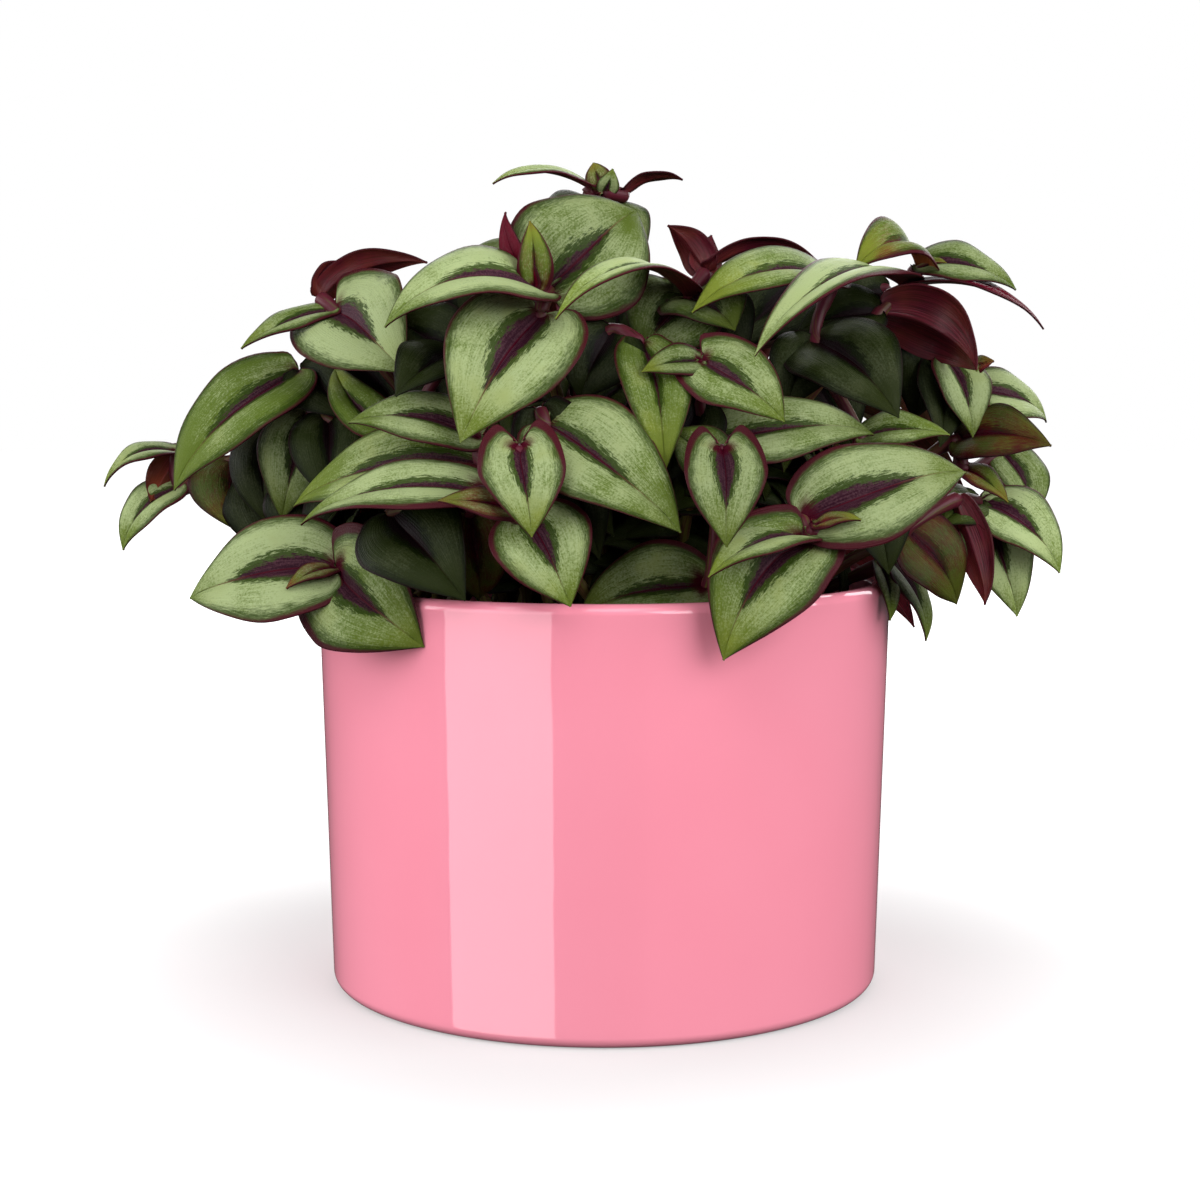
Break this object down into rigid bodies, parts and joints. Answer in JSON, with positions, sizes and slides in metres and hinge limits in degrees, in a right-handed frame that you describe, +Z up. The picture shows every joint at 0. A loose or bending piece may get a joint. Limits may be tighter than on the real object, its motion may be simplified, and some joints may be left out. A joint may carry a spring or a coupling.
{
  "type": "potted tradescantia",
  "caption": "Bushy trailing houseplant with silver-striped, maroon-backed leaves on fleshy stems, in a glossy glazed cylinder pot that stands on its flat underside.",
  "frame": {"origin": "centre of the pot's flat underside", "axes": "+Z up; -Y is the front of the plant, the side that the picture shows; +X is to its right as seen from the front"},
  "size_m": [0.2485, 0.1936, 0.2139],
  "materials": {
    "glaze": "gloss",
    "potting_soil": "matte",
    "foliage": "satin"
  },
  "bodies": {
    "root": {"pot": "glaze", "soil": "potting_soil", "stem_back_high_1": "foliage", "stem_back_high_2": "foliage", "stem_back_high_3": "foliage", "stem_back_low_1": "foliage", "stem_back_low_2": "foliage", "stem_back_low_3": "foliage", "stem_back_low_4": "foliage", "stem_back_low_5": "foliage", "stem_back_low_6": "foliage", "stem_back_middle_1": "foliage", "stem_back_middle_2": "foliage", "stem_back_middle_3": "foliage", "stem_back_middle_4": "foliage", "stem_back_middle_5": "foliage", "stem_back_top_1": "foliage", "stem_back_top_2": "foliage", "stem_big_left": "foliage", "stem_centre_heart": "foliage", "stem_centre_right": "foliage", "stem_centre_top": "foliage", "stem_far_left": "foliage", "stem_hanging": "foliage", "stem_left_front": "foliage", "stem_left_inner": "foliage", "stem_left_rim": "foliage", "stem_left_top": "foliage", "stem_mid_left": "foliage", "stem_red": "foliage", "stem_right_front": "foliage", "stem_right_hanging": "foliage", "stem_right_heart": "foliage", "stem_right_low": "foliage", "stem_right_low_trail": "foliage", "stem_right_middle": "foliage", "stem_right_rim": "foliage", "stem_right_top": "foliage", "stem_right_trail": "foliage", "stem_top": "foliage"}
  },
  "joints": []
}
